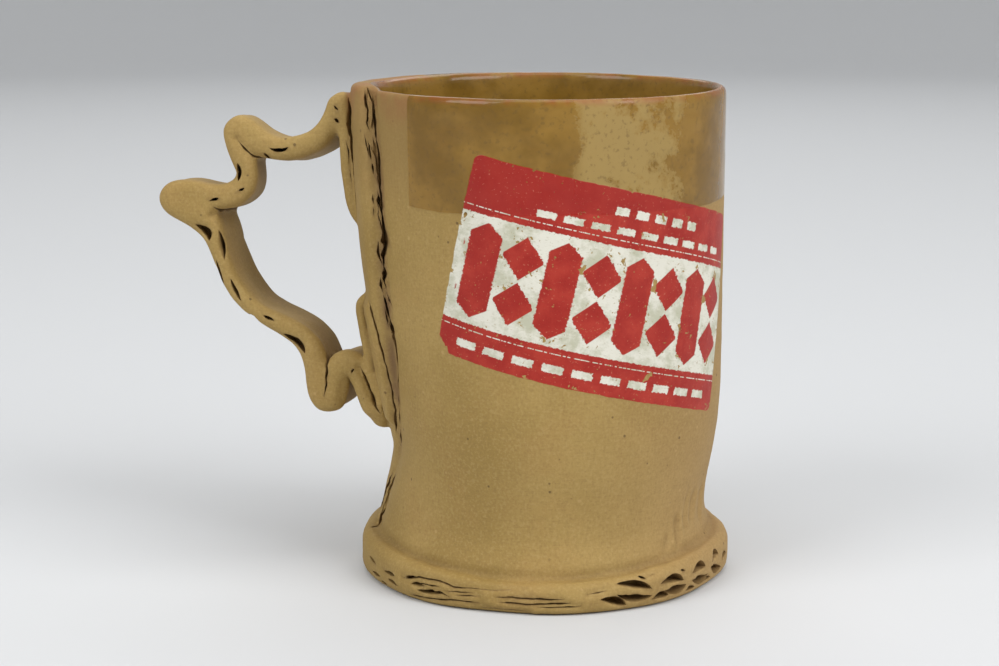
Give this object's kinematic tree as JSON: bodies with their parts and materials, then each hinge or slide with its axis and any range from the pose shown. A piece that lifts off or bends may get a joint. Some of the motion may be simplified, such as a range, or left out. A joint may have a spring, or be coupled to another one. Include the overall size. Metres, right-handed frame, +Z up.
{
  "type": "cracked mug",
  "caption": "Slab-built stoneware mug, open at the top, on a thick fluted foot slab, with a crumpled ribbon handle and a cracked side seam.",
  "frame": {"origin": "middle of the foot slab's flat underside, at table level", "axes": "+Z up through the cup's middle; the handle points to -X; the printed label faces between -Y and +X"},
  "size_m": [0.1421, 0.0913, 0.1204],
  "materials": {
    "stoneware": "matte speckled tan clay, with a glossy olive-tan glaze inside and round the rim"
  },
  "bodies": {
    "root": {"mug": "stoneware"}
  },
  "joints": []
}
